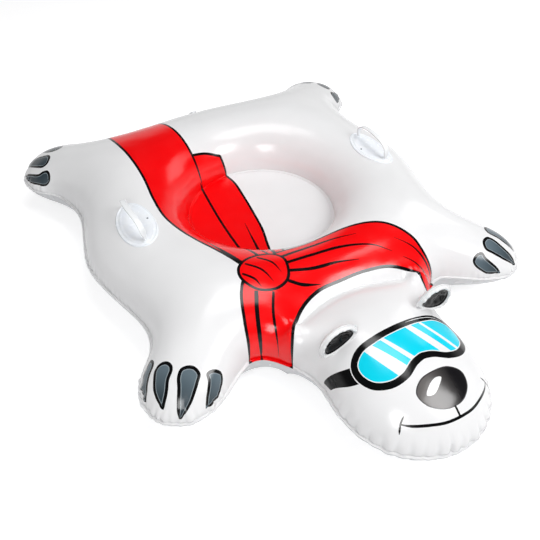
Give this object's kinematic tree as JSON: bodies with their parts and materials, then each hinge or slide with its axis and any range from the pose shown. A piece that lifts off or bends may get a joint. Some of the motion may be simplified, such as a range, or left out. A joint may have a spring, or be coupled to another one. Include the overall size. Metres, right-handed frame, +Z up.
{
  "type": "snow tube",
  "caption": "Inflatable snow tube in the form of a sprawling polar bear, with a round film-floored seat, strap grab handles on oval patches, standing ears and a stoppered valve.",
  "frame": {"origin": "centre of the bounding box in plan, on the ground it rests on", "axes": "+Z up, the head points along -Y, +X is the rider's left when the rider faces the head"},
  "size_m": [0.9814, 1.2277, 0.2202],
  "materials": {
    "white_film": "glossy white vinyl film",
    "underside_film": "glossy white vinyl film, heavier gauge",
    "seat_film": "glossy white vinyl film",
    "inner_film": "plain vinyl film, hidden",
    "ear_print": "black print on glossy vinyl",
    "ear_film": "glossy white vinyl film",
    "patch_film": "milky glossy vinyl",
    "grip_strap": "milky glossy vinyl",
    "valve_plastic": "clear-white soft vinyl",
    "flap_film": "clear-white soft vinyl",
    "stopper_plastic": "clear-white soft vinyl"
  },
  "bodies": {
    "tube": {"upper_shell": "white_film", "lower_shell": "underside_film", "seat_panel": "seat_film", "neck_baffle": "inner_film", "ear_left_front": "ear_print", "ear_left_back": "ear_film", "ear_right_front": "ear_print", "ear_right_back": "ear_film", "handle_left_patch": "patch_film", "handle_right_patch": "patch_film", "valve_base": "valve_plastic"},
    "left_grip": {"handle_left_grip": "grip_strap"},
    "right_grip": {"handle_right_grip": "grip_strap"},
    "stopper": {"valve_stopper": "stopper_plastic"},
    "flap": {"valve_flap": "flap_film"}
  },
  "joints": [
    {"name": "left_grip_hinge", "type": "hinge", "parent": "tube", "child": "left_grip", "pos_m": [0.31248, 0.10099, 0.18227], "axis": [0, 0.9997, 0.0254], "range_deg": [-70, 70], "stiffness_Nm_per_rad": 0.05},
    {"name": "right_grip_hinge", "type": "hinge", "parent": "tube", "child": "right_grip", "pos_m": [-0.31248, 0.10099, 0.18227], "axis": [0, 0.9997, 0.0254], "range_deg": [-70, 70], "stiffness_Nm_per_rad": 0.05},
    {"name": "stopper_hinge", "type": "hinge", "parent": "tube", "child": "stopper", "pos_m": [0, 0.53792, 0.14248], "axis": [-1, 0, 0], "range_deg": [0, 150]},
    {"name": "flap_hinge", "type": "hinge", "parent": "tube", "child": "flap", "pos_m": [0, 0.51044, 0.14134], "axis": [-1, 0, 0], "range_deg": [0, 60], "stiffness_Nm_per_rad": 0.0005, "springref_deg": -5.73}
  ]
}
